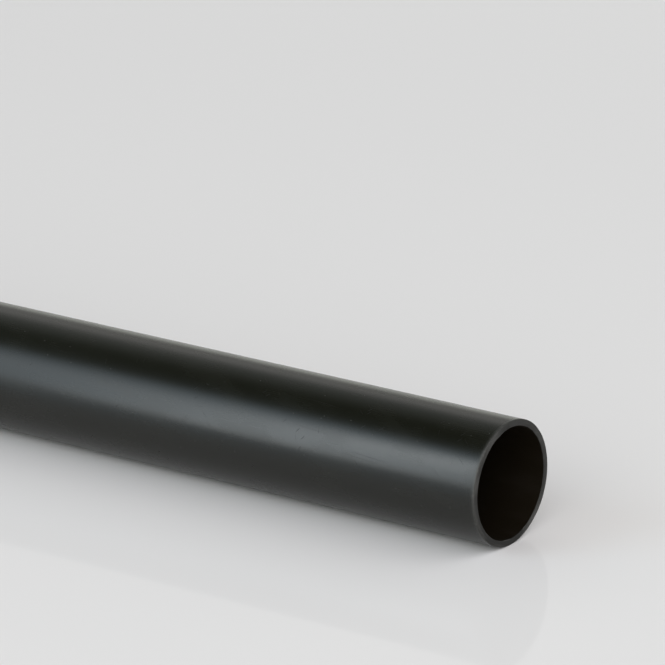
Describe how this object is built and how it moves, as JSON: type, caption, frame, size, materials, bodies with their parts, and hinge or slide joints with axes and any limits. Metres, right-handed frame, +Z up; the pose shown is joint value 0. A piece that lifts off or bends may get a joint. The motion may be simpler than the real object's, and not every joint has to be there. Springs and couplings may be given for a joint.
{
  "type": "plastic waste pipe",
  "caption": "Straight round length of black plastic waste pipe with a thin wall, an open bore and square-cut plain ends.",
  "frame": {"origin": "on the line that the pipe lies on, halfway along it: the middle of the bottom of its box", "axes": "+X along the pipe towards the cut end that faces the viewer, +Z up, +Y across the pipe"},
  "size_m": [3, 0.036, 0.0362],
  "materials": {
    "black_plastic": "satin extruded skin, matt where it is cut"
  },
  "bodies": {
    "root": {"waste_pipe": "black_plastic"}
  },
  "joints": []
}
